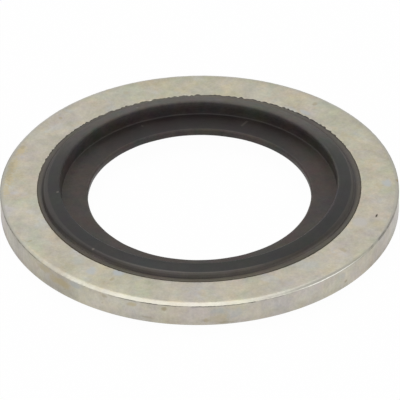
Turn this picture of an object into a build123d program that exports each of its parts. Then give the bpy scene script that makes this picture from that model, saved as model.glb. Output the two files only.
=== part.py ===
from build123d import *
from math import cos, radians, tan
import os

os.makedirs("parts", exist_ok=True)

# Self-centring bonded sealing washer for a 16 mm thread, all lengths in mm.
# Origin on the axis of the hole, half way through the thickness. +Z runs along the hole.
# Both faces are alike, so the washer can be fitted either way up.

# Radial widths, from the thread outwards and inwards
thread_diameter = 16.0
thread_clearance = 0.35  # lip bore stands this far clear of the thread
web_reach = 1.63  # from the lip bore in to the tip of the web
seal_width = 1.1  # from the lip bore out to the steel
ring_width = 2.55  # from the bore of the steel to its rim

# Steel ring
ring_thickness = 1.5
roll_width = 0.28  # upper rim, drawn down by the punch
roll_depth = 0.12
burr_bevel = 0.08  # lower rim, where the burr is tumbled away
bore_bevel_width = 0.3  # shallow coined bevel that the rubber laps over
bore_bevel_depth = 0.06

# Sealing lip, one on each face
lip_height = 0.43  # crest above the steel face
lip_crest_round = 0.15
lip_back_slope = 12.8  # degrees, falling from crest to shoulder
lip_shoulder_bevel = 0.09
lip_heel_lean = 0.08  # shoulder set in from the relief groove
lip_draft = 4.0  # degrees, so that the moulding core draws out

# Relief groove between lip and steel, room for the squeezed rubber
groove_width = 0.08
groove_depth = 0.04
groove_rim = 0.02  # rubber left standing against the steel bore

# Centring web that grips the thread
web_root_thickness = 0.66
web_tip_thickness = 0.47
web_tip_bevel = 0.09

face = ring_thickness / 2
lip_radius = thread_diameter / 2 + thread_clearance
web_radius = lip_radius - web_reach
ring_bore_radius = lip_radius + seal_width
ring_radius = ring_bore_radius + ring_width
flash_radius = ring_bore_radius + bore_bevel_width
web_root = web_root_thickness / 2
web_tip = web_tip_thickness / 2

# The stamped ring: one rim rolled over, the other bevelled, the bore bevelled on both sides
with BuildPart() as steel_ring:
    with BuildSketch(Plane.XZ):
        with BuildLine():
            Line((flash_radius, face), (ring_radius - roll_width, face))
            TangentArc(
                (ring_radius - roll_width, face),
                (ring_radius, face - roll_depth),
                tangent=(1, 0),
            )
            Polyline(
                (ring_radius, face - roll_depth),
                (ring_radius, -face + burr_bevel),
                (ring_radius - burr_bevel, -face),
                (flash_radius, -face),
                (ring_bore_radius, -face + bore_bevel_depth),
                (ring_bore_radius, face - bore_bevel_depth),
                (flash_radius, face),
            )
        make_face()
    revolve(axis=Axis.Z)

# Corners of the lip. The crest corner, before rounding, stands a little above the crest itself.
groove_outer = ring_bore_radius - groove_rim
groove_inner = groove_outer - groove_width
shoulder_radius = groove_inner - lip_heel_lean
slope = radians(lip_back_slope)
crest_corner = face + lip_height + lip_crest_round * (1 / cos(slope) + tan(slope) - 1)
shoulder_rise = (shoulder_radius - lip_shoulder_bevel - lip_radius) * tan(slope)
shoulder_corner = crest_corner - shoulder_rise
wall_foot = lip_radius - (crest_corner - web_root) * tan(radians(lip_draft))

# The rubber moulding, bonded to the whole bore of the ring and flush with its faces
with BuildPart() as rubber_seal:
    with BuildSketch(Plane.XZ):
        with BuildLine():
            Polyline(
                (ring_bore_radius, 0),
                (ring_bore_radius, face - bore_bevel_depth),
                (flash_radius, face),
                (groove_outer, face),
                (groove_inner, face - groove_depth),
                (shoulder_radius, shoulder_corner - lip_shoulder_bevel),
                (shoulder_radius - lip_shoulder_bevel, shoulder_corner),
            )
            FilletPolyline(
                (shoulder_radius - lip_shoulder_bevel, shoulder_corner),
                (lip_radius, crest_corner),
                (wall_foot, web_root),
                (web_radius + web_tip_bevel, web_tip),
                (web_radius, web_tip - web_tip_bevel),
                (web_radius, 0),
                radius=(lip_crest_round, 0, 0, 0),
            )
            mirror(about=Plane.XZ)
        make_face()
    revolve(axis=Axis.Z)

steel_ring.part.label = "steel_ring"
rubber_seal.part.label = "rubber_seal"

export_step(steel_ring.part, "parts/steel_ring.step")
export_step(rubber_seal.part, "parts/rubber_seal.step")
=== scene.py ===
import math

import bpy
import numpy as np
from mathutils import Matrix, Vector


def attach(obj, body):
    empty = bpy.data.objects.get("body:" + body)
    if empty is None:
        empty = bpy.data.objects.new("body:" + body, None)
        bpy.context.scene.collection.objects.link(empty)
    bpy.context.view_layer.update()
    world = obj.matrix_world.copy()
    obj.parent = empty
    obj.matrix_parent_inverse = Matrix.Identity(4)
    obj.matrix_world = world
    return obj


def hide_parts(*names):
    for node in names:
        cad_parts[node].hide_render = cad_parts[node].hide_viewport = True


# Self-centring bonded sealing washer: a stamped zinc-plated ring with a rubber seal moulded into its bore.
# Sizes in the dictionaries are in millimetres, angles in degrees. Objects are in metres.
# Angles round the washer start at the right and run anticlockwise, so the front is at -90.
# In the finishes, east is X, north is Y and level is the distance from the middle plane.
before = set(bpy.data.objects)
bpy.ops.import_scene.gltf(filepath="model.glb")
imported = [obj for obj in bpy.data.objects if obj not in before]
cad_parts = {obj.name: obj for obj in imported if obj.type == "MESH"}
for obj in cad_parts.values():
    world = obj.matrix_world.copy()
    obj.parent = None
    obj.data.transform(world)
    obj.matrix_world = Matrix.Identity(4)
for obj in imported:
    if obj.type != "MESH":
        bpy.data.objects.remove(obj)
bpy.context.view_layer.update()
mm = 0.001

# Camera, fitted to the outlines of the ring and the hole
viewpoint = {
    "elevation": 35.43,
    "roll": 0.72,
    "distance": 324.0,
    "lens": 484.3,
    "sensor": 36.0,
    "frameSize": 400,  # pixels
    "aimX": 199.53,  # where the middle of the washer lies in the picture
    "aimY": 196.49,
    "clipStart": 0.01,  # metres
    "clipEnd": 10,
}


def cameraAxes():
    elevation = math.radians(viewpoint["elevation"])
    roll = math.radians(viewpoint["roll"])
    back = Vector((0, -math.cos(elevation), math.sin(elevation)))
    up = Vector((0, math.sin(elevation), math.cos(elevation)))
    right = Vector((1, 0, 0))
    rolledRight = right * math.cos(roll) - up * math.sin(roll)
    rolledUp = right * math.sin(roll) + up * math.cos(roll)
    return rolledRight, rolledUp, back


def addCamera():
    right, up, back = cameraAxes()
    camera = bpy.data.objects.new("camera", bpy.data.cameras.new("camera"))
    bpy.context.scene.collection.objects.link(camera)
    turn = Matrix((right, up, back)).transposed().to_4x4()
    camera.matrix_world = Matrix.Translation(back * viewpoint["distance"] * mm) @ turn
    camera.data.lens = viewpoint["lens"]
    camera.data.sensor_width = viewpoint["sensor"]
    half = viewpoint["frameSize"] / 2
    camera.data.shift_x = (half - viewpoint["aimX"]) / viewpoint["frameSize"]
    camera.data.shift_y = (viewpoint["aimY"] - half) / viewpoint["frameSize"]
    camera.data.clip_start = viewpoint["clipStart"]
    camera.data.clip_end = viewpoint["clipEnd"]
    camera.data.dof.use_dof = False
    bpy.context.scene.camera = camera


def sightLine(pixel):
    right, up, back = cameraAxes()
    reach = viewpoint["lens"] / viewpoint["sensor"] * viewpoint["frameSize"]
    aim = right * (pixel[0] - viewpoint["aimX"]) - up * (pixel[1] - viewpoint["aimY"]) - back * reach
    return back * viewpoint["distance"], aim.normalized()


def onLevel(pixel, height):  # point of a level face seen at that pixel, in mm
    start, aim = sightLine(pixel)
    return start + aim * ((height - start.z) / aim.z)


def onWall(pixel, radius):  # near point of an upright round wall seen at that pixel, in mm
    start, aim = sightLine(pixel)
    a = aim.x ** 2 + aim.y ** 2
    b = start.x * aim.x + start.y * aim.y
    c = start.x ** 2 + start.y ** 2 - radius ** 2
    return start + aim * ((-b - math.sqrt(b * b - a * c)) / a)


addCamera()
print("camera set")


# A section is a closed loop of corners (radius, height, rounding), turned about the axis of the hole
def roundedCorner(before, here, after, rounding, steps):
    toBefore, toAfter = before - here, after - here
    lengthBefore, lengthAfter = np.linalg.norm(toBefore), np.linalg.norm(toAfter)
    toBefore, toAfter = toBefore / lengthBefore, toAfter / lengthAfter
    halfAngle = math.acos(float(np.clip(toBefore @ toAfter, -1, 1))) / 2
    nearlyStraight = halfAngle > math.pi / 2 - 0.01
    if rounding <= 0 or nearlyStraight:
        return [here]
    cut = min(rounding / math.tan(halfAngle), lengthBefore / 2, lengthAfter / 2)
    radius = cut * math.tan(halfAngle)
    middle = here + (toBefore + toAfter) / np.linalg.norm(toBefore + toAfter) * radius / math.sin(halfAngle)
    first = here + toBefore * cut - middle
    last = here + toAfter * cut - middle
    side = math.copysign(1, float(first[0] * last[1] - first[1] * last[0]))
    sweep = side * (math.pi - 2 * halfAngle)
    points = []
    for turn in np.linspace(0, sweep, steps + 1):
        c, s = math.cos(turn), math.sin(turn)
        points.append(middle + np.array((c * first[0] - s * first[1], s * first[0] + c * first[1])))
    return points


def sectionLoop(corners, span, steps):  # steps over each rounding, no longer step than the span elsewhere
    points = []
    for i, (r, z, rounding) in enumerate(corners):
        before = np.array(corners[i - 1][:2])
        after = np.array(corners[(i + 1) % len(corners)][:2])
        points += roundedCorner(before, np.array((r, z)), after, rounding, steps)
    loop = []
    for i, point in enumerate(points):
        following = points[(i + 1) % len(points)]
        pieces = max(1, math.ceil(np.linalg.norm(following - point) / span))
        loop += [point + (following - point) * k / pieces for k in range(pieces)]
    return np.array(loop)


def turnedMesh(name, section, sizes, shape):
    loop = sectionLoop(section, sizes["span"], sizes["cornerSteps"])
    columns, rows = sizes["columns"], len(loop)
    angles = np.arange(columns) * 2 * math.pi / columns
    everyAngle = np.repeat(angles[:, None], rows, 1)
    r = np.repeat(loop[:, 0][None, :], columns, 0)
    z = np.repeat(loop[:, 1][None, :], columns, 0)
    r, z = shape(r, z, everyAngle)
    points = np.stack((r * np.cos(everyAngle), r * np.sin(everyAngle), z), -1).reshape(-1, 3) * mm
    i, j = np.meshgrid(np.arange(columns), np.arange(rows), indexing="ij")
    nextI, nextJ = (i + 1) % columns, (j + 1) % rows
    corners = (i * rows + j, nextI * rows + j, nextI * rows + nextJ, i * rows + nextJ)
    mesh = bpy.data.meshes.new(name)
    mesh.from_pydata(points.tolist(), [], np.stack(corners, -1).reshape(-1, 4).tolist())
    mesh.polygons.foreach_set("use_smooth", [True] * len(mesh.polygons))
    mesh.update()
    piece = bpy.data.objects.new(name, mesh)
    bpy.context.scene.collection.objects.link(piece)
    return piece


def wobble(angles, size, seed, slowest, fastest, fade=0.5):  # smooth closed wave, mostly within its size
    rng = np.random.default_rng(seed)
    total = np.zeros_like(angles)
    power = 0.0
    for k in range(slowest, fastest + 1):
        share = (slowest / k) ** fade
        total += share * np.cos(k * angles + rng.uniform(0, 2 * math.pi))
        power += share ** 2
    return size * (total / math.sqrt(power))


def angleBetween(angles, degrees):  # signed difference, in radians
    return (angles - math.radians(degrees) + math.pi) % (2 * math.pi) - math.pi


def swell(angles, at, reach):  # rises to 1 at that angle and dies away within its reach
    return np.exp(-(angleBetween(angles, at) / math.radians(reach)) ** 2)


def swellSum(angles, swells, key):  # what a list of swells adds to one measure
    return sum(one[key] * swell(angles, one["at"], one["reach"]) for one in swells)


steelRing = {
    "outerRadius": 12.0,
    "halfThickness": 0.75,
    "boreRadius": 9.45,
    "boreBevelWidth": 0.3,
    "boreBevelDepth": 0.06,
    "roll": {"width": 0.23, "depth": 0.08, "ledge": 0.012},  # at the back
    "rollAtFront": {"width": 0.1, "depth": 0.018},  # added towards the front
    "rollBend": 0.6,  # share of its width over which the roll bends down
    "rollSteepening": 0.2,  # how much it goes on bending after that
    "rollRows": 11,
    "rollSwells": (
        {"at": -38, "reach": 24, "width": -0.26, "depth": 0.0, "ledge": 0.0},
        {"at": -51, "reach": 15, "width": 0.0, "depth": 0.01, "ledge": 0.065},
        {"at": -158, "reach": 18, "width": -0.06, "depth": -0.03, "ledge": 0.0},
        {"at": 152, "reach": 16, "width": 0.0, "depth": 0.05, "ledge": 0.0},
    ),
    "widthWaves": {"size": 0.012, "seed": 11, "slowest": 3, "fastest": 60},
    "depthWaves": {"size": 0.004, "seed": 12, "slowest": 9, "fastest": 260, "fade": 0.3},
    "wallWaves": {"size": 0.004, "seed": 13, "slowest": 40, "fastest": 300, "fade": 0.2},
    "ledgeFall": 0.28,  # drop of the ledge over its width
    "ledgeRows": (0.75, 0.25, 0.0),  # shares of its width, from the outside inwards
    "lipRadius": 0.055,  # rounding from the roll into the sheared wall
    "lipTilts": (90, 71, 53, 35),
    "burrBevel": 0.08,
    "edgeBreak": 0.012,
    "flashGap": 0.02,  # points nearer than this to the rim of the bore's bevel follow the edge of the flash
    "nick": {"pixel": (136, 300), "depth": 0.03, "reach": 0.16, "band": 0.2},  # band: how far in it can go
    "span": 0.3,  # longest step between two points of the section
    "cornerSteps": 4,
    "columns": 1200,
}


def rollDrop(share):  # share of the roll's depth reached at that share of its width
    bend, steepening = steelRing["rollBend"], steelRing["rollSteepening"]
    bent = np.minimum(share, bend) ** 2 / (2 * bend)
    straight = np.maximum(share - bend, 0)
    whole = 1 - bend / 2 + (1 - bend) ** 2 * steepening
    return (bent + straight + straight ** 2 * steepening) / whole


def lipStart():  # radius at which the rounding into the wall begins
    s = steelRing
    return s["outerRadius"] - s["lipRadius"] * (1 - math.sin(math.radians(s["lipTilts"][-1])))


def lipHead(roll):  # height at which the rounding meets the wall
    s = steelRing
    drop = s["lipRadius"] * math.cos(math.radians(s["lipTilts"][-1]))
    return s["halfThickness"] - roll["depth"] - roll["ledge"] * s["ledgeFall"] - drop


def steelSection():
    s = steelRing
    top, bottom, rim = s["halfThickness"], -s["halfThickness"], s["outerRadius"]
    flash = s["boreRadius"] + s["boreBevelWidth"]
    lip, roll = s["lipRadius"], s["roll"]
    rows = []
    for tilt in s["lipTilts"]:
        turn = math.radians(tilt)
        rows.append((rim - lip * (1 - math.sin(turn)), lipHead(roll) + lip * math.cos(turn), 0))
    for share in s["ledgeRows"]:
        radius = lipStart() - roll["ledge"] * (1 - share)
        rows.append((radius, top - roll["depth"] - roll["ledge"] * s["ledgeFall"] * share, 0))
    for share in np.linspace(1, 0, s["rollRows"])[1:]:
        radius = lipStart() - roll["ledge"] - roll["width"] * (1 - share)
        rows.append((radius, top - roll["depth"] * rollDrop(share), 0))
    return [
        (s["boreRadius"], bottom + s["boreBevelDepth"], 0),
        (flash, bottom, s["edgeBreak"]),
        (rim - s["burrBevel"], bottom, s["edgeBreak"]),
        (rim, bottom + s["burrBevel"], s["edgeBreak"]),
        *rows,
        (flash, top, s["edgeBreak"]),
        (s["boreRadius"], top - s["boreBevelDepth"], 0),
    ]


def rollAround(angles):  # width, depth and ledge of the roll at every angle
    s = steelRing
    roll = {key: value + np.zeros_like(angles) for key, value in s["roll"].items()}
    forward = (1 - np.sin(angles)) / 2
    for key, value in s["rollAtFront"].items():
        roll[key] += value * forward
    for key in roll:
        roll[key] += swellSum(angles, s["rollSwells"], key)
    roll["width"] += wobble(angles, **s["widthWaves"])
    roll["depth"] += wobble(angles, **s["depthWaves"])
    return roll


def steelShape(r, z, angles):
    s, plain = steelRing, steelRing["roll"]
    top, rim, foot = s["halfThickness"], s["outerRadius"], s["burrBevel"] - s["halfThickness"]
    roll = rollAround(angles)
    tiny = 1e-6
    start = lipStart()
    plainHead, head = lipHead(plain), lipHead(roll)
    flatStart = s["boreRadius"] + s["boreBevelWidth"]
    plainEnd, flatEnd = (start - one["ledge"] - one["width"] for one in (plain, roll))
    flat = (r > flatStart + s["flashGap"]) & (r < plainEnd + tiny) & (z > top - tiny)
    rolled = (r > plainEnd + tiny) & (r < start - plain["ledge"] + tiny) & (z > 0)
    ledge = (r > start - plain["ledge"] + tiny) & (r < start - tiny) & (z > 0)
    rounding = (r > start - tiny) & (z > plainHead - tiny)
    wall = (r > rim - tiny) & (z > foot) & ~rounding
    toEnd = (r - flatStart) / (plainEnd - flatStart)
    acrossRoll = np.clip((r - plainEnd) / plain["width"], 0, 1)
    acrossLedge = (r - start) / plain["ledge"] + 1
    ledgeHeight = top - roll["depth"] - roll["ledge"] * s["ledgeFall"] * acrossLedge
    shapes = (
        (flat, flatStart + toEnd * (flatEnd - flatStart), z),
        (rolled, flatEnd + acrossRoll * roll["width"], top - roll["depth"] * rollDrop(acrossRoll)),
        (ledge, start - roll["ledge"] * (1 - acrossLedge), ledgeHeight),
        (rounding, r, z + head - plainHead),
        (wall, r, foot + (z - foot) * (head - foot) / (plainHead - foot)),
    )
    for zone, newR, newZ in shapes:
        r, z = np.where(zone, newR, r), np.where(zone, newZ, z)
    inwards = (s["wallWaves"]["size"] + wobble(angles, **s["wallWaves"])) / 2
    r = np.where(wall | rounding, r - inwards, r)
    atBevel = np.abs(r - flatStart) < s["flashGap"]
    r = np.where(atBevel, r + swellSum(angles, rubberSeal["flashSwells"], "out"), r)
    nick, centre = s["nick"], onWall(s["nick"]["pixel"], rim)
    along = angleBetween(angles, math.degrees(math.atan2(centre.y, centre.x))) * rim
    dent = nick["depth"] * np.exp(-2 * (along ** 2 + (z - centre.z) ** 2) / nick["reach"] ** 2)
    return np.where(r > rim - nick["band"], r - dent, r), z


rubberSeal = {
    "lipBoreRadius": 8.35,
    "lipHeight": 0.43,
    "crestRound": 0.1,
    "backSlope": 12.8,
    "shoulderBevel": 0.09,
    "heelLean": 0.08,
    "draft": 4.0,
    "grooveWidth": 0.08,
    "grooveDepth": 0.03,
    "grooveFilled": {"at": 8, "reach": 26, "share": 0.9},  # the groove runs out at the right
    "grooveStrays": (  # where the groove strays from its circle, and how much of the painted shade line along it is left there
        {"at": -166, "reach": 24, "out": 0.08, "line": 0.1},
        {"at": -134, "reach": 18, "out": 0.0, "line": 0.2},
        {"at": -54, "reach": 24, "out": -0.06, "line": 0.1},
        {"at": -20, "reach": 18, "out": 0.04, "line": 1.6},
        {"at": 180, "reach": 10, "out": 0.0, "line": 0.2},
        {"at": 4, "reach": 12, "out": 0.0, "line": 0.6},
    ),
    "strayFrom": 8.65,  # radius on the lip's back from which it strays with the groove
    "strayFade": 0.5,
    "grooveRim": 0.02,
    "webRadius": 6.72,
    "webRootThickness": 0.66,
    "webTipThickness": 0.47,
    "tipBevel": 0.09,
    "softEdge": 0.015,
    "cornerFillet": 0.07,
    "shoulderRound": 0.02,
    "tipRound": 0.04,
    "lipShift": {"east": -0.045, "north": -0.02, "fade": 0.3, "inside": 0.05},  # moulded off the middle
    "lipWaves": {"size": 0.006, "seed": 21, "slowest": 4, "fastest": 30},
    "wavesTurn": 0.1,  # how far the waves turn round the washer with the height
    "flashLift": 0.006,
    "flashSwells": (  # where the edge of the flash, and the bevel under it, stray outwards
        {"at": -50, "reach": 60, "out": -0.035},
        {"at": 40, "reach": 30, "out": 0.045},
        {"at": 110, "reach": 24, "out": -0.08},
        {"at": -160, "reach": 50, "out": 0.03},
    ),
    "ragged": {"from": 15, "to": 175, "most": 1.15, "least": 0.15},  # the torn stretch, along the back
    "teeth": {"size": 0.0384, "seed": 22, "slowest": 50, "fastest": 260, "fade": 0.3},
    "tears": {"size": 0.0096, "seed": 23, "slowest": 5, "fastest": 24},
    "span": 0.28,
    "cornerSteps": 3,
    "columns": 1000,
}


def rubberSection():
    s, ring = rubberSeal, steelRing
    top, bore = ring["halfThickness"], ring["boreRadius"]
    slope = math.tan(math.radians(s["backSlope"]))
    crest = top + s["lipHeight"] + s["crestRound"] * (math.sqrt(1 + slope ** 2) + slope - 1)
    grooveOuter = bore - s["grooveRim"]
    grooveInner = grooveOuter - s["grooveWidth"]
    shoulder = grooveInner - s["heelLean"]
    shoulderTop = crest - (shoulder - s["shoulderBevel"] - s["lipBoreRadius"]) * slope
    webRoot, webTip = s["webRootThickness"] / 2, s["webTipThickness"] / 2
    wallFoot = s["lipBoreRadius"] - (crest - webRoot) * math.tan(math.radians(s["draft"]))
    upper = [
        (bore, top - ring["boreBevelDepth"], 0),
        (bore + ring["boreBevelWidth"], top, 0),
        (grooveOuter, top, s["softEdge"]),
        (grooveInner, top - s["grooveDepth"], s["softEdge"]),
        (shoulder, shoulderTop - s["shoulderBevel"], s["shoulderRound"]),
        (shoulder - s["shoulderBevel"], shoulderTop, s["shoulderRound"]),
        (s["lipBoreRadius"], crest, s["crestRound"]),
        (wallFoot, webRoot, s["cornerFillet"]),
        (s["webRadius"] + s["tipBevel"], webTip, s["tipRound"]),
        (s["webRadius"], webTip - s["tipBevel"], s["tipRound"]),
    ]
    lower = [(r, -z, rounding) for r, z, rounding in upper[::-1]]
    return lower + upper


def rubberShape(r, z, angles):
    s, ring = rubberSeal, steelRing
    level, tiny = np.abs(z), 0.001
    top, bore, bevel = ring["halfThickness"], ring["boreRadius"], ring["boreBevelWidth"]
    soft = r < bore - s["grooveRim"] / 2
    aside = s["lipShift"]["east"] * np.cos(angles) + s["lipShift"]["north"] * np.sin(angles)
    lip = np.clip((level - s["webRootThickness"]) / s["lipShift"]["fade"], 0, 1)
    lip = lip * (r > s["lipBoreRadius"] - s["lipShift"]["inside"])
    waves = wobble(angles + z * s["wavesTurn"], **s["lipWaves"])
    r = np.where(soft, r + waves + aside * lip, r)
    stray = swellSum(angles, s["grooveStrays"], "out")
    rising = np.clip((r - s["strayFrom"]) / s["strayFade"], 0, 1)
    falling = np.clip((bore + bevel - r) / bevel, 0, 1)
    aboveBevel = level > top - ring["boreBevelDepth"] * falling + 5 * tiny
    r = r + stray * np.minimum(rising, falling) * aboveBevel
    belowFace = (level < top) & (level > top / 2)
    inGroove = belowFace & (r > s["strayFrom"]) & (r < bore - tiny + np.maximum(stray, 0))
    fill = s["grooveFilled"]
    filled = fill["share"] * swell(angles, fill["at"], fill["reach"])
    z = np.where(inGroove, np.sign(z) * (top - (top - level) * (1 - filled)), z)
    flash = r > bore + bevel - tiny
    torn = s["ragged"]
    middle, reach = (torn["from"] + torn["to"]) / 2, math.radians(torn["to"] - torn["from"]) / 2
    ragged = np.clip(torn["most"] - (angleBetween(angles, middle) / reach) ** 4, torn["least"], 1)
    teeth = wobble(angles, **s["teeth"]) + wobble(angles, **s["tears"])
    r = np.where(flash, r + swellSum(angles, s["flashSwells"], "out") + ragged * teeth, r)
    z = np.where(flash, np.sign(z) * (level + s["flashLift"]), z)
    return r, z


ringPiece = turnedMesh("zinc_ring", steelSection(), steelRing, steelShape)
sealPiece = turnedMesh("moulded_seal", rubberSection(), rubberSeal, rubberShape)
print("ring and seal turned", len(ringPiece.data.polygons), len(sealPiece.data.polygons))


# Short ways to place nodes, for the materials
def put(tree, kind, sockets=(), **settings):
    node = tree.nodes.new(kind)
    for key, value in settings.items():
        setattr(node, key, value)
    for socket, value in dict(sockets).items():
        if isinstance(value, bpy.types.NodeSocket):
            tree.links.new(value, node.inputs[socket])
        else:
            node.inputs[socket].default_value = value
    return node


def placed(tree, group, sockets, result="Mask"):
    return put(tree, "ShaderNodeGroup", sockets, node_tree=group).outputs[result]


def calc(tree, operation, *values, clamp=False):
    return put(tree, "ShaderNodeMath", enumerate(values), operation=operation, use_clamp=clamp).outputs[0]


def vectorCalc(tree, operation, *values, result="Vector"):
    return put(tree, "ShaderNodeVectorMath", enumerate(values), operation=operation).outputs[result]


def scaled(tree, vector, size):
    return put(tree, "ShaderNodeVectorMath", {0: vector, "Scale": size}, operation="SCALE").outputs[0]


def axesOf(tree, vector):
    return tuple(put(tree, "ShaderNodeSeparateXYZ", {0: vector}).outputs)


def times(tree, product, *others):  # masks multiplied hold where all of them do
    for value in others:
        product = calc(tree, "MULTIPLY", product, value)
    return product


def smooth(tree, value, low, high):  # 0 at low, 1 at high, either may be the larger
    sockets = {"Value": value, "From Min": low, "From Max": high}
    return put(tree, "ShaderNodeMapRange", sockets, interpolation_type="SMOOTHSTEP").outputs[0]


def smoothBeside(tree, value, base, reach):  # the same, between two distances from a base value
    return smooth(tree, value, base + reach[0], base + reach[1])


def noise(tree, point, scale, detail, roughness):
    sockets = {"Vector": point, "Scale": scale, "Detail": detail, "Roughness": roughness}
    return put(tree, "ShaderNodeTexNoise", sockets).outputs[0]


def swing(tree, point, offset, scale, detail, roughness):  # soft noise about zero
    value = noise(tree, vectorCalc(tree, "ADD", point, offset), scale, detail, roughness)
    return calc(tree, "SUBTRACT", value, 0.5)


def tint(tree, factor, under, over):  # lays one colour over another
    colors = [(*one, 1) if isinstance(one, tuple) else one for one in (under, over)]
    return put(tree, "ShaderNodeMix", {0: factor, 6: colors[0], 7: colors[1]}, data_type="RGBA").outputs[2]


def shade(tree, color, amount):  # makes a colour darker or lighter by a varying amount
    gray = put(tree, "ShaderNodeCombineXYZ", {0: amount, 1: amount, 2: amount}).outputs[0]
    return vectorCalc(tree, "MULTIPLY", color, gray)


def swellMask(tree, point, radius, at, reach):  # the same rise round the washer as swell gives to shapes
    towards = (math.cos(math.radians(at)), math.sin(math.radians(at)), 0)
    along = vectorCalc(tree, "DOT_PRODUCT", point, towards, result="Value")
    turn = calc(tree, "SUBTRACT", 1.0, calc(tree, "DIVIDE", along, radius))
    return calc(tree, "EXPONENT", calc(tree, "MULTIPLY", turn, -2 / math.radians(reach) ** 2))


def newGroup(name, inputs, outputs):
    group = bpy.data.node_groups.new(name, "ShaderNodeTree")
    for label, kind, value in inputs:
        socket = group.interface.new_socket(name=label, in_out="INPUT", socket_type="NodeSocket" + kind)
        if value is not None:
            socket.default_value = value
    for label, kind in outputs:
        group.interface.new_socket(name=label, in_out="OUTPUT", socket_type="NodeSocket" + kind)
    return group, group.nodes.new("NodeGroupInput").outputs, group.nodes.new("NodeGroupOutput").inputs


def makeSpotGroup():  # a ragged patch at one place on the washer, its reach given along, across and upright
    inputs = (
        ("Point", "Vector", None),
        ("Angle", "Float", 0.0),
        ("Middle", "Vector", None),
        ("Reach", "Vector", (1, 1, 1)),
        ("Ragged", "Float", 0.6),
        ("Grain", "Float", 3.0),
    )
    group, given, result = newGroup("spot", inputs, (("Mask", "Float"),))
    back = calc(group, "MULTIPLY", given["Angle"], -1)
    sockets = {"Vector": given["Point"], "Axis": (0, 0, 1), "Angle": back}
    turned = put(group, "ShaderNodeVectorRotate", sockets, rotation_type="AXIS_ANGLE").outputs[0]
    offset = vectorCalc(group, "SUBTRACT", turned, given["Middle"])
    far = vectorCalc(group, "LENGTH", vectorCalc(group, "DIVIDE", offset, given["Reach"]), result="Value")
    grain = noise(group, given["Point"], given["Grain"], detail=3.0, roughness=0.6)
    rough = calc(group, "MULTIPLY", calc(group, "SUBTRACT", grain, 0.5), 2)
    ragged = calc(group, "MULTIPLY_ADD", rough, given["Ragged"], far)
    gone, full = 1.25, 0.45  # shares of the reach
    group.links.new(smooth(group, ragged, gone, full), result["Mask"])
    return group


def makeLineGroup():  # a thin straight mark between two points
    inputs = (
        ("Point", "Vector", None),
        ("Start", "Vector", None),
        ("End", "Vector", None),
        ("Width", "Float", 0.1),
    )
    group, given, result = newGroup("thinLine", inputs, (("Mask", "Float"),))
    run = vectorCalc(group, "SUBTRACT", given["End"], given["Start"])
    away = vectorCalc(group, "SUBTRACT", given["Point"], given["Start"])
    along = vectorCalc(group, "DOT_PRODUCT", away, run, result="Value")
    whole = vectorCalc(group, "DOT_PRODUCT", run, run, result="Value")
    nearest = scaled(group, run, calc(group, "DIVIDE", along, whole, clamp=True))
    gap = vectorCalc(group, "LENGTH", vectorCalc(group, "SUBTRACT", away, nearest), result="Value")
    gone, full = 0.75, 0.25  # shares of the width
    group.links.new(smooth(group, calc(group, "DIVIDE", gap, given["Width"]), gone, full), result["Mask"])
    return group


def makeBandGroup():  # a band between two values, such as two radii or two heights
    inputs = (
        ("Value", "Float", 0.0),
        ("Low", "Float", 0.0),
        ("High", "Float", 1.0),
        ("Soft", "Float", 0.05),
    )
    group, given, result = newGroup("band", inputs, (("Mask", "Float"),))
    value, low, high, soft = (given[label] for label, _, _ in inputs)
    rising = smooth(group, value, calc(group, "SUBTRACT", low, soft), calc(group, "ADD", low, soft))
    falling = smooth(group, value, calc(group, "ADD", high, soft), calc(group, "SUBTRACT", high, soft))
    group.links.new(times(group, rising, falling), result["Mask"])
    return group


def makePlaceGroup():  # the point in millimetres, its distance from the axis and from the middle plane
    inputs = (("Object", "Vector", None), ("Normal", "Vector", None))
    outputs = (
        ("Point", "Vector"),
        ("Radius", "Float"),
        ("East", "Float"),
        ("North", "Float"),
        ("Height", "Float"),
        ("Level", "Float"),
        ("Upward", "Float"),
    )
    group, given, result = newGroup("place", inputs, outputs)
    point = scaled(group, given["Object"], 1 / mm)
    flat = vectorCalc(group, "MULTIPLY", point, (1, 1, 0))
    east, north, height = axesOf(group, point)
    values = {
        "Point": point,
        "Radius": vectorCalc(group, "LENGTH", flat, result="Value"),
        "East": east,
        "North": north,
        "Height": height,
        "Level": calc(group, "ABSOLUTE", height),
        "Upward": axesOf(group, given["Normal"])[2],
    }
    for label, value in values.items():
        group.links.new(value, result[label])
    return group


def makeMottleGroup():  # lets a colour drift in lightness, towards yellow or blue, and towards red or green
    inputs = (
        ("Point", "Vector", None),
        ("Color", "Color", None),
        ("Scale", "Float", 0.4),
        ("Light", "Float", 0.5),
        ("Yellow", "Float", 0.2),
        ("Red", "Float", 0.1),
    )
    group, given, result = newGroup("mottle", inputs, (("Color", "Color"),))
    point, scale = given["Point"], given["Scale"]
    light = times(group, swing(group, point, (0, 0, 0), scale, detail=5.0, roughness=0.95), given["Light"])
    yellow = times(group, swing(group, point, (31, 7, 3), scale, detail=4.0, roughness=0.8), given["Yellow"])
    red = times(group, swing(group, point, (5, 43, 11), scale, detail=4.0, roughness=0.8), given["Red"])
    plain = calc(group, "ADD", light, 1.0)
    warm = calc(group, "ADD", plain, yellow)
    gains = {
        0: calc(group, "ADD", warm, red),
        1: calc(group, "SUBTRACT", warm, red),
        2: calc(group, "SUBTRACT", plain, calc(group, "MULTIPLY", yellow, 2)),
    }
    gain = put(group, "ShaderNodeCombineXYZ", gains).outputs[0]
    least = (0.1, 0.1, 0.1)
    gain = vectorCalc(group, "MAXIMUM", gain, least)
    group.links.new(vectorCalc(group, "MULTIPLY", given["Color"], gain), result["Color"])
    return group


spotGroup = makeSpotGroup()
lineGroup = makeLineGroup()
bandGroup = makeBandGroup()
placeGroup = makePlaceGroup()
mottleGroup = makeMottleGroup()


def band(tree, value, low, high, soft):
    return placed(tree, bandGroup, {"Value": value, "Low": low, "High": high, "Soft": soft})


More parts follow.
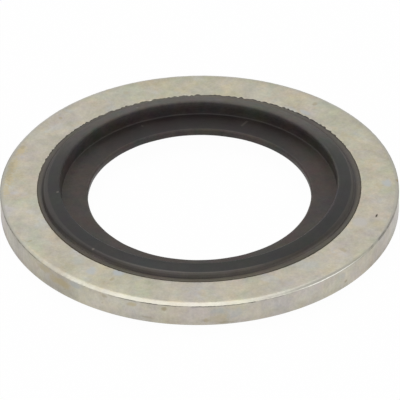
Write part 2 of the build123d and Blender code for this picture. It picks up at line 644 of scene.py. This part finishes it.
def newMaterial(name):
    material = bpy.data.materials.new(name)
    material.use_nodes = True
    tree = material.node_tree
    spot = tree.nodes.new("ShaderNodeTexCoord").outputs
    sockets = {"Object": spot["Object"], "Normal": spot["Normal"]}
    where = put(tree, "ShaderNodeGroup", sockets, node_tree=placeGroup).outputs
    return material, tree, tree.nodes["Principled BSDF"], where


markLevels = {"face": 0.75, "web": 0.3, "slope": 1.08, "heel": 0.98}  # heights on which marks are placed
markUpright = 0.4  # reach of a mark square to its surface


def markMask(tree, point, surface, mark):  # mark given by its pixel in the picture and the surface it lies on
    along, across = mark["reach"]
    if surface == "wall":
        centre, reach = onWall(mark["pixel"], steelRing["outerRadius"]), (markUpright, along, across)
    else:
        centre, reach = onLevel(mark["pixel"], markLevels[surface]), (across, along, markUpright)
    sockets = {
        "Point": point,
        "Angle": math.atan2(centre.y, centre.x),
        "Middle": (math.hypot(centre.x, centre.y), 0, centre.z),
        "Reach": reach,
        "Ragged": mark.get("ragged", 0.5),
        "Grain": mark.get("grain", 3.0),
    }
    return calc(tree, "MULTIPLY", placed(tree, spotGroup, sockets), mark.get("share", 1.0))


frayed = {"ragged": 1.6, "grain": 8}  # for the stains along the left rim
zincFinish = {
    "base": (0.441, 0.41, 0.335),
    "green": (0.42, 0.414, 0.328),
    "tan": (0.455, 0.408, 0.318),
    "blue": (0.432, 0.42, 0.375),
    "wall": (0.565, 0.524, 0.456),
    "rubbed": (0.4, 0.39, 0.345),  # along the roll, a little less yellow
    "ledgeGlint": (0.68, 0.67, 0.62),  # painted highlight: brighter metal on the ledge at the right, where the edge glints
    "clouds": {"offset": (17, 3, 29), "scale": 0.5, "detail": 3.0, "roughness": 0.6},
    "haze": {"offset": (9, 21, 2), "scale": 0.8, "detail": 3.0, "roughness": 0.6},
    "bloom": {"offset": (2, 13, 41), "scale": 0.7, "detail": 3.0, "roughness": 0.6},
    "grain": {"offset": (0, 0, 0), "scale": 5.0, "detail": 3.0, "roughness": 0.65},
    "greenIn": (0.02, -0.15),  # levels of the clouds, the haze and the bloom between which a colour comes in
    "tanIn": (0.0, 0.16),
    "blueIn": (0.05, 0.2),
    "wallBand": {"low": 11.99, "high": 13.0, "soft": 0.02},
    "wallShare": 0.85,
    "rollLean": {"from": (0.995, 0.94), "to": (0.3, 0.6), "share": 0.6},  # by how far the surface faces up
    "ledgeLean": {"low": 0.9, "high": 0.985, "soft": 0.01},
    "ledgeBand": (-0.11, -0.09),  # from the rim
    "ledgeEast": {"low": 6.2, "high": 9.3, "soft": 0.8},
    "ledgeNorth": (-6.0, -7.0),
    "mottle": {"Scale": 0.4, "Light": 1.0, "Yellow": 0.2, "Red": 0.12},
    "specks": {"scale": 3.2, "detail": 1.0, "roughness": 0.5},
    "specksIn": (0.74, 0.82),
    "speckShare": 0.4,
    "shear": {  # dirt and painted shade in the corner where the roll turns into the wall
        "lean": {"low": 0.15, "high": 0.8, "soft": 0.08},
        "patches": {"scale": 0.9, "detail": 3.0, "roughness": 0.6},
        "patchesIn": (0.35, 0.55),
        "north": (-10.5, -11.4),
        "sideways": (9.0, 10.2),
        "sideShare": 0.6,
        "height": (0.1, 0.3),
        "share": 0.7,
    },
    "paintedWallShade": (  # painted shade on the wall, darker towards its bottom edge and at its left and right, each patch from nothing to its full share of the light
        {"axis": "Height", "in": (0.0, -0.6), "share": 0.1},
        {"axis": "Height", "in": (-0.64, -0.69), "share": 0.1},
        {"axis": "East", "in": (-6.6, -8.4), "share": 0.12},
        {"axis": "East", "in": (9.6, 11.0), "share": 0.14},
        {"axis": "East", "in": (-9.0, -11.0), "share": 0.12},
    ),
    "nearRim": (-0.1, -0.05),  # from the rim, where the wall and its rounding begin
    # painted shade along the outer edge of the face at the back
    "backRimShade": {"north": (0.0, 4.0), "radius": (11.2, 11.75), "share": 0.07},
    "roughness": 0.37,
    "roughnessSwing": 0.3,
    "metallic": 0.85,
    "bump": {"Strength": 0.25, "Distance": 0.01 * mm},
    "stains": {
        "rust": (0.335, 0.285, 0.185),
        "yellow": (0.475, 0.405, 0.26),
        "blue": (0.405, 0.428, 0.435),
        "mauve": (0.45, 0.43, 0.405),
        "pit": (0.03, 0.024, 0.014),
        "umber": (0.38, 0.325, 0.25),
    },
    "faceMarks": (
        {"stain": "pit", "pixel": (376.6, 215.6), "reach": (0.19, 0.06), "ragged": 0.15},
        {"stain": "yellow", "pixel": (378, 224), "reach": (0.4, 0.4), "ragged": 0.9, "share": 0.35},
        {"stain": "yellow", "pixel": (21, 151), "reach": (0.5, 0.3), **frayed, "share": 0.9},
        {"stain": "yellow", "pixel": (14, 165), "reach": (0.7, 0.3), **frayed, "share": 0.8},
        {"stain": "yellow", "pixel": (9, 180), "reach": (0.7, 0.28), **frayed, "share": 0.8},
        {"stain": "yellow", "pixel": (6.5, 191), "reach": (0.6, 0.25), **frayed, "share": 0.7},
        {"stain": "rust", "pixel": (23, 147), "reach": (0.2, 0.15), "ragged": 1.0, "share": 0.5},
        {"stain": "rust", "pixel": (10, 172), "reach": (1.1, 0.22), "ragged": 1.8, "grain": 6, "share": 0.5},
        {"stain": "rust", "pixel": (397.3, 179.5), "reach": (0.16, 0.12), "ragged": 0.3, "share": 0.9},
        {"stain": "rust", "pixel": (112, 279), "reach": (0.12, 0.2), "share": 0.7},
        {"stain": "rust", "pixel": (69, 267), "reach": (0.5, 0.5), "ragged": 1.4, "share": 0.3},
        {"stain": "rust", "pixel": (315, 104), "reach": (0.16, 0.22), "share": 0.6},
        {"stain": "rust", "pixel": (126, 92.5), "reach": (0.2, 0.2), "share": 0.4},
        {"stain": "rust", "pixel": (60.6, 118), "reach": (0.1, 0.14), "share": 0.7},
        {"stain": "rust", "pixel": (342, 249.5), "reach": (0.18, 0.3), "ragged": 0.9, "share": 0.5},
        {"stain": "rust", "pixel": (30, 241), "reach": (0.08, 0.16), "ragged": 0.6, "share": 0.6},
        {"stain": "blue", "pixel": (387, 183), "reach": (0.45, 0.3), "ragged": 0.8, "share": 0.75},
        {"stain": "blue", "pixel": (92, 271), "reach": (0.35, 0.45), "ragged": 0.8, "share": 0.7},
        {"stain": "blue", "pixel": (118, 273), "reach": (0.4, 0.3), "ragged": 0.6, "share": 0.9},
        {"stain": "blue", "pixel": (78, 261), "reach": (0.4, 0.4), "ragged": 0.8, "share": 0.4},
        {"stain": "blue", "pixel": (305, 112.5), "reach": (0.4, 0.2), "ragged": 0.8, "share": 0.6},
        {"stain": "blue", "pixel": (290, 109), "reach": (0.5, 0.25), "ragged": 0.9, "share": 0.4},
        {"stain": "mauve", "pixel": (360, 222), "reach": (0.5, 0.5), "share": 0.8},
    ),
    "wallMarks": (
        {"stain": "umber", "pixel": (58, 281), "reach": (1.6, 1.0), "ragged": 0.7, "share": 0.25},
        {"stain": "blue", "pixel": (219, 310.5), "reach": (0.5, 0.22), "ragged": 1.2, "share": 0.5},
        {"stain": "blue", "pixel": (237, 313), "reach": (0.6, 0.35), "ragged": 1.3, "share": 0.45},
        {"stain": "blue", "pixel": (75, 285), "reach": (0.4, 0.25), "share": 0.6},
        {"stain": "blue", "pixel": (341, 277), "reach": (0.4, 0.3), "ragged": 1.1, "share": 0.3},
        {"stain": "yellow", "pixel": (60, 282), "reach": (0.9, 0.3), "ragged": 0.9, "share": 0.9},
        {"stain": "yellow", "pixel": (44, 268), "reach": (0.8, 0.3), "ragged": 1.1, "share": 0.6},
        {"stain": "rust", "pixel": (104, 296), "reach": (0.2, 0.14), "share": 0.5},
        {"stain": "rust", "pixel": (164, 309), "reach": (0.18, 0.16), "share": 0.75},
        {"stain": "rust", "pixel": (206, 320.5), "reach": (0.22, 0.12), "ragged": 0.8, "share": 0.5},
        {
            "stain": "yellow",
            "pixel": (216, 318.5),
            "reach": (0.8, 0.3),
            "ragged": 1.2,
            "grain": 5,
            "share": 0.35,
        },
        {"stain": "yellow", "pixel": (132, 304.5), "reach": (0.3, 0.16), "ragged": 0.9, "share": 0.7},
        {"stain": "rust", "pixel": (226, 322), "reach": (0.5, 0.08), "ragged": 0.9, "share": 0.4},
        {"stain": "rust", "pixel": (146, 317), "reach": (0.4, 0.1), "ragged": 1.0, "share": 0.4},
        {"stain": "rust", "pixel": (346, 281), "reach": (0.14, 0.1), "share": 0.7},
    ),
}


def zincTints(tree, where):  # the drifting colours of the passivation, the metal that shows through, and a painted highlight on the ledge at the right
    f, rim = zincFinish, steelRing["outerRadius"]
    point, radius, upward = where["Point"], where["Radius"], where["Upward"]
    color = tint(tree, smooth(tree, swing(tree, point, **f["clouds"]), *f["greenIn"]), f["base"], f["green"])
    color = tint(tree, smooth(tree, swing(tree, point, **f["haze"]), *f["tanIn"]), color, f["tan"])
    color = tint(tree, smooth(tree, swing(tree, point, **f["bloom"]), *f["blueIn"]), color, f["blue"])
    atWall = times(tree, band(tree, radius, **f["wallBand"]), f["wallShare"])
    color = tint(tree, atWall, color, f["wall"])
    color = placed(tree, mottleGroup, {"Point": point, "Color": color, **f["mottle"]}, "Color")
    lean = f["rollLean"]
    turned = times(tree, smooth(tree, upward, *lean["from"]), smooth(tree, upward, *lean["to"]))
    color = tint(tree, times(tree, turned, lean["share"]), color, f["rubbed"])
    # painted highlight on the ledge at the right
    nearRim = smoothBeside(tree, radius, rim, f["ledgeBand"])
    onLedge = times(tree, band(tree, upward, **f["ledgeLean"]), nearRim)
    east = band(tree, where["East"], **f["ledgeEast"])
    atRight = times(tree, east, smooth(tree, where["North"], *f["ledgeNorth"]))
    return tint(tree, times(tree, onLedge, atRight), color, f["ledgeGlint"])


def zincDirtAndShade(tree, where):  # share of the light taken away by dirt and painted shade
    f, shear, back = zincFinish, zincFinish["shear"], zincFinish["backRimShade"]
    north, height = where["North"], where["Height"]
    nearRim = smoothBeside(tree, where["Radius"], steelRing["outerRadius"], f["nearRim"])
    sideways = smooth(tree, calc(tree, "ABSOLUTE", where["East"]), *shear["sideways"])
    around = calc(tree, "MULTIPLY_ADD", sideways, shear["sideShare"], smooth(tree, north, *shear["north"]))
    patchy = smooth(tree, noise(tree, where["Point"], **shear["patches"]), *shear["patchesIn"])
    corner = band(tree, where["Upward"], **shear["lean"])
    # painted shade, with some dirt, along the crease under the roll, at the front and sides
    dirtAndShade = times(tree, corner, smooth(tree, height, *shear["height"]), patchy, around, shear["share"])
    # painted shade on the lower wall and at its left and right
    for patch in f["paintedWallShade"]:
        mask = smooth(tree, where[patch["axis"]], *patch["in"])
        dirtAndShade = calc(tree, "MULTIPLY_ADD", mask, patch["share"], dirtAndShade)
    # painted shade along the outer edge of the face at the back
    atBack = times(tree, smooth(tree, north, *back["north"]), smooth(tree, where["Radius"], *back["radius"]))
    return calc(tree, "MULTIPLY_ADD", atBack, back["share"], times(tree, dirtAndShade, nearRim))


def zincPassivate():
    f = zincFinish
    material, tree, shader, where = newMaterial("zincPassivate")
    point = where["Point"]
    color = zincTints(tree, where)
    for surface in ("face", "wall"):
        for mark in f[surface + "Marks"]:
            color = tint(tree, markMask(tree, point, surface, mark), color, f["stains"][mark["stain"]])
    speck = smooth(tree, noise(tree, point, **f["specks"]), *f["specksIn"])
    color = tint(tree, times(tree, speck, f["speckShare"]), color, f["stains"]["rust"])
    # painted shade and some dirt darken the colour
    color = shade(tree, color, calc(tree, "SUBTRACT", 1.0, zincDirtAndShade(tree, where)))
    haze = swing(tree, point, **f["haze"])
    roughness = calc(tree, "MULTIPLY_ADD", haze, f["roughnessSwing"], f["roughness"])
    bump = put(tree, "ShaderNodeBump", {**f["bump"], "Height": swing(tree, point, **f["grain"])})
    tree.links.new(color, shader.inputs["Base Color"])
    tree.links.new(roughness, shader.inputs["Roughness"])
    tree.links.new(bump.outputs[0], shader.inputs["Normal"])
    shader.inputs["Metallic"].default_value = f["metallic"]
    return material


nitrileFinish = {
    "web": (0.0365, 0.027, 0.022),
    # painted shade: the web darker at the back, where the wall of the lip shades it
    "webInShadeAtBack": (0.0115, 0.0075, 0.007),
    "tip": (0.05, 0.04, 0.034),
    "wall": (0.045, 0.038, 0.036),
    "slope": (0.0128, 0.0118, 0.0104),
    # painted sheen: the lip's slope lighter at the back, where it is seen at a grazing angle
    "slopeLitAtBack": (0.055, 0.046, 0.036),
    # painted light on the heel: lighter at the front, darker at the sides, lightened again at its foot beside
    # the groove
    "heel": (0.084, 0.074, 0.066),
    "heelShadedAside": (0.036, 0.031, 0.027),
    "lightenedHeelFoot": (0.12, 0.105, 0.092),
    "flash": (0.104, 0.092, 0.07),
    "flashAside": (0.08, 0.07, 0.054),
    "fringe": (0.095, 0.078, 0.05),
    "fringeBack": (0.04, 0.03, 0.018),
    # painted shade on the flash just behind the lip, at the back
    "grooveShadeAtBack": (0.05, 0.041, 0.032),
    "grooveShadeLine": (0.016, 0.009, 0.007),
    "dust": (0.16, 0.14, 0.12),
    "mottle": {"Scale": 0.5, "Light": 2.2, "Yellow": 0.5, "Red": 0.9},  # inside the lip
    "edgeMottle": {"Scale": 0.6, "Light": 0.9, "Yellow": 0.25, "Red": 0.3},  # outside it
    "drift": {"offset": (0, 0, 0), "scale": 1.4, "detail": 3.0, "roughness": 0.6},
    "driftReach": 0.12,  # how far borders between colours wander
    "calmDrift": 0.3,  # share of it at the shoulder
    "smear": {"offset": (0, 0, 0), "scale": 0.45, "detail": 4.0, "roughness": 0.6},
    "dustIn": (0.0, 0.25),
    "dustShare": 0.03,
    "backNorth": (2.0, 6.5),
    "tipEdge": (0.0, 0.06),  # outwards from the bevel at the tip of the web
    "wallEdge": (-0.12, -0.04),  # from the bore of the lip
    "slopeEdge": (-0.02, 0.1),
    "heelEdge": (-0.1, -0.03),  # from the shoulder
    "flashEdge": (0.02, 0.1),  # from the inner edge of the groove
    "flashFade": 0.12,  # added to that towards the sides
    "grooveBackFrom": -0.18,  # from the border with the steel, in to the groove
    "grooveBackTo": 0.04,
    "fringeEdge": (-0.1, -0.02),
    "asideIn": (2.5, 7.0),  # how far left or right
    "heelFootOut": (6.5, 9.5),
    "heelFootLevel": (0.76, 0.96),
    "line": {"from": -0.01, "to": 0.05, "soft": 0.03, "strength": 0.6},  # painted shade in the groove
    "roughness": 0.45,
    "roughnessSwing": 0.25,
    "specular": 0.3,
    "grain": {"scale": 7.0, "detail": 2.0, "roughness": 0.6},
    "bump": {"Strength": 0.3, "Distance": 0.008 * mm},
    "dash": {"on": "web", "from": (241.8, 125.4), "to": (246.8, 121.6), "width": 0.12, "share": 0.22},
    "specks": (
        {"on": "web", "pixel": (142.3, 126), "reach": (0.08, 0.12), "ragged": 0.2, "share": 0.16},
        {"on": "slope", "pixel": (137.3, 108.3), "reach": (0.08, 0.1), "ragged": 0.2, "share": 0.5},
        {"on": "heel", "pixel": (93.1, 249.7), "reach": (0.09, 0.09), "ragged": 0.2, "share": 0.7},
        {"on": "slope", "pixel": (57.7, 193.2), "reach": (0.09, 0.09), "ragged": 0.3, "share": 0.6},
    ),
}


def innerColor(tree, where, drift, smear, atBack):  # web, bore and sloping back of the lip
    f, s, point, radius = nitrileFinish, rubberSeal, where["Point"], where["Radius"]
    web = tint(tree, atBack, f["web"], f["webInShadeAtBack"])
    slope = tint(tree, atBack, f["slope"], f["slopeLitAtBack"])
    fromTip = smoothBeside(tree, radius, s["webRadius"] + s["tipBevel"], f["tipEdge"])
    color = tint(tree, fromTip, f["tip"], web)
    color = tint(tree, smoothBeside(tree, radius, s["lipBoreRadius"], f["wallEdge"]), color, f["wall"])
    color = tint(tree, smoothBeside(tree, drift, s["lipBoreRadius"], f["slopeEdge"]), color, slope)
    dusty = times(tree, smooth(tree, smear, *f["dustIn"]), f["dustShare"])
    color = tint(tree, dusty, color, f["dust"])
    return placed(tree, mottleGroup, {"Point": point, "Color": color, **f["mottle"]}, "Color")


def outerColor(tree, where, drift, atBack, groove):  # heel, groove and flash
    f, line, point, radius = nitrileFinish, nitrileFinish["line"], where["Point"], where["Radius"]
    border = steelRing["boreRadius"] + steelRing["boreBevelWidth"]
    sideways = calc(tree, "ABSOLUTE", where["East"])
    aside = smooth(tree, sideways, *f["asideIn"])
    # painted light: the heel lighter at the front and at its foot, and darker at the sides
    foot = tint(tree, smooth(tree, sideways, *f["heelFootOut"]), f["lightenedHeelFoot"], f["heelShadedAside"])
    heelSide = tint(tree, smooth(tree, where["Level"], *f["heelFootLevel"]), foot, f["heelShadedAside"])
    heelColor = tint(tree, aside, f["heel"], heelSide)
    flashColor = tint(tree, aside, f["flash"], f["flashAside"])
    onGroove = radius
    lineStrength = calc(tree, "MULTIPLY_ADD", atBack, -line["strength"], line["strength"])
    for stray in rubberSeal["grooveStrays"]:
        strayed = swellMask(tree, point, radius, stray["at"], stray["reach"])
        onGroove = calc(tree, "MULTIPLY_ADD", strayed, -stray["out"], onGroove)
        lineStrength = times(tree, lineStrength, calc(tree, "MULTIPLY_ADD", strayed, stray["line"] - 1, 1.0))
    flashFull = calc(tree, "MULTIPLY_ADD", aside, f["flashFade"], groove + f["flashEdge"][1])
    color = tint(tree, smooth(tree, onGroove, groove + f["flashEdge"][0], flashFull), heelColor, flashColor)
    # painted shade on the flash behind the lip, at the back
    toGroove = smooth(tree, drift, border + f["grooveBackFrom"], groove + f["grooveBackTo"])
    color = tint(tree, times(tree, atBack, toGroove), color, f["grooveShadeAtBack"])
    fringe = tint(tree, atBack, f["fringe"], f["fringeBack"])
    color = tint(tree, smoothBeside(tree, drift, border, f["fringeEdge"]), color, fringe)
    color = placed(tree, mottleGroup, {"Point": point, "Color": color, **f["edgeMottle"]}, "Color")
    # painted shade line along the groove, fading out at the back
    onLine = band(tree, onGroove, groove + line["from"], groove + line["to"], line["soft"])
    return tint(tree, times(tree, onLine, lineStrength), color, f["grooveShadeLine"])


def nitrile():
    f, s = nitrileFinish, rubberSeal
    material, tree, shader, where = newMaterial("nitrile")
    point, radius = where["Point"], where["Radius"]
    groove = steelRing["boreRadius"] - s["grooveRim"] - s["grooveWidth"]
    shoulder = groove - s["heelLean"] - s["shoulderBevel"]
    wander = swing(tree, point, **f["drift"])
    drift = calc(tree, "MULTIPLY_ADD", wander, f["driftReach"], radius)
    calm = calc(tree, "MULTIPLY_ADD", wander, f["driftReach"] * f["calmDrift"], radius)
    smear = swing(tree, point, **f["smear"])
    atBack = smooth(tree, where["North"], *f["backNorth"])
    inner = innerColor(tree, where, drift, smear, atBack)
    outer = outerColor(tree, where, drift, atBack, groove)
    color = tint(tree, smoothBeside(tree, calm, shoulder, f["heelEdge"]), inner, outer)
    for mark in f["specks"]:
        color = tint(tree, markMask(tree, point, mark["on"], mark), color, f["dust"])
    dash = f["dash"]
    start, end = (onLevel(dash[key], markLevels[dash["on"]]) for key in ("from", "to"))
    scratch = placed(tree, lineGroup, {"Point": point, "Start": start, "End": end, "Width": dash["width"]})
    color = tint(tree, times(tree, scratch, dash["share"]), color, f["dust"])
    roughness = calc(tree, "MULTIPLY_ADD", smear, f["roughnessSwing"], f["roughness"])
    bump = put(tree, "ShaderNodeBump", {**f["bump"], "Height": noise(tree, point, **f["grain"])})
    tree.links.new(color, shader.inputs["Base Color"])
    tree.links.new(roughness, shader.inputs["Roughness"])
    tree.links.new(bump.outputs[0], shader.inputs["Normal"])
    shader.inputs["Specular IOR Level"].default_value = f["specular"]
    return material


ringPiece.data.materials.append(zincPassivate())
sealPiece.data.materials.append(nitrile())
print("zinc and rubber finishes made")

# Floor and light
studio = {
    "floorHeight": -1.188,
    "floorReach": 2000.0,
    "floorColor": (0.85, 0.85, 0.85),
    "floorGlow": 0.98,  # share of plain white in what the camera and the gloss see of the floor
    "skyStrength": 0.58,
    "softboxSize": 450.0,
    "softboxFrom": (-60, 75, 500),
    "softboxRadiance": 1.6,
}


def cameraOrGloss(tree):
    path = tree.nodes.new("ShaderNodeLightPath").outputs
    seen = calc(tree, "MAXIMUM", path["Is Camera Ray"], path["Is Glossy Ray"])
    return calc(tree, "MAXIMUM", seen, path["Is Transmission Ray"])


def addFloor():
    reach, height = studio["floorReach"] * mm, studio["floorHeight"] * mm
    corners = [(x * reach, y * reach, height) for x, y in ((-1, -1), (1, -1), (1, 1), (-1, 1))]
    mesh = bpy.data.meshes.new("floor")
    mesh.from_pydata(corners, [], [(0, 1, 2, 3)])
    floor = bpy.data.objects.new("floor", mesh)
    bpy.context.scene.collection.objects.link(floor)
    material = bpy.data.materials.new("paleFloor")
    material.use_nodes = True
    tree = material.node_tree
    tree.nodes.clear()
    share = calc(tree, "MULTIPLY", cameraOrGloss(tree), studio["floorGlow"])
    matt = put(tree, "ShaderNodeBsdfDiffuse", {"Color": (*studio["floorColor"], 1)})
    glow = put(tree, "ShaderNodeEmission", {"Strength": 1.0})
    mix = put(tree, "ShaderNodeMixShader", {0: share, 1: matt.outputs[0], 2: glow.outputs[0]})
    put(tree, "ShaderNodeOutputMaterial", {"Surface": mix.outputs[0]})
    mesh.materials.append(material)


def addSky():
    world = bpy.data.worlds.new("paleSky")
    world.use_nodes = True
    tree = world.node_tree
    tree.nodes.clear()
    strengths = (studio["skyStrength"], 1.0)  # for the light on the washer, and for what the camera sees
    skies = [put(tree, "ShaderNodeBackground", {"Color": (1, 1, 1, 1), "Strength": one}) for one in strengths]
    sockets = {0: cameraOrGloss(tree), 1: skies[0].outputs[0], 2: skies[1].outputs[0]}
    mix = put(tree, "ShaderNodeMixShader", sockets)
    put(tree, "ShaderNodeOutputWorld", {"Surface": mix.outputs[0]})
    bpy.context.scene.world = world


def addSoftbox():
    size, place = studio["softboxSize"] * mm, Vector(studio["softboxFrom"])
    lamp = bpy.data.lights.new("overhead", "AREA")
    lamp.shape = "SQUARE"
    lamp.size = size
    lamp.energy = studio["softboxRadiance"] * math.pi * size ** 2
    softbox = bpy.data.objects.new("overhead", lamp)
    softbox.location = place * mm
    softbox.rotation_euler = place.to_track_quat("Z", "Y").to_euler()
    bpy.context.scene.collection.objects.link(softbox)


addFloor()
addSky()
addSoftbox()
bpy.context.scene.view_settings.view_transform = "Standard"
print("floor and light set")

for piece, node in ((ringPiece, "steel_ring"), (sealPiece, "rubber_seal")):
    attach(piece, "root")
    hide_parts(node)
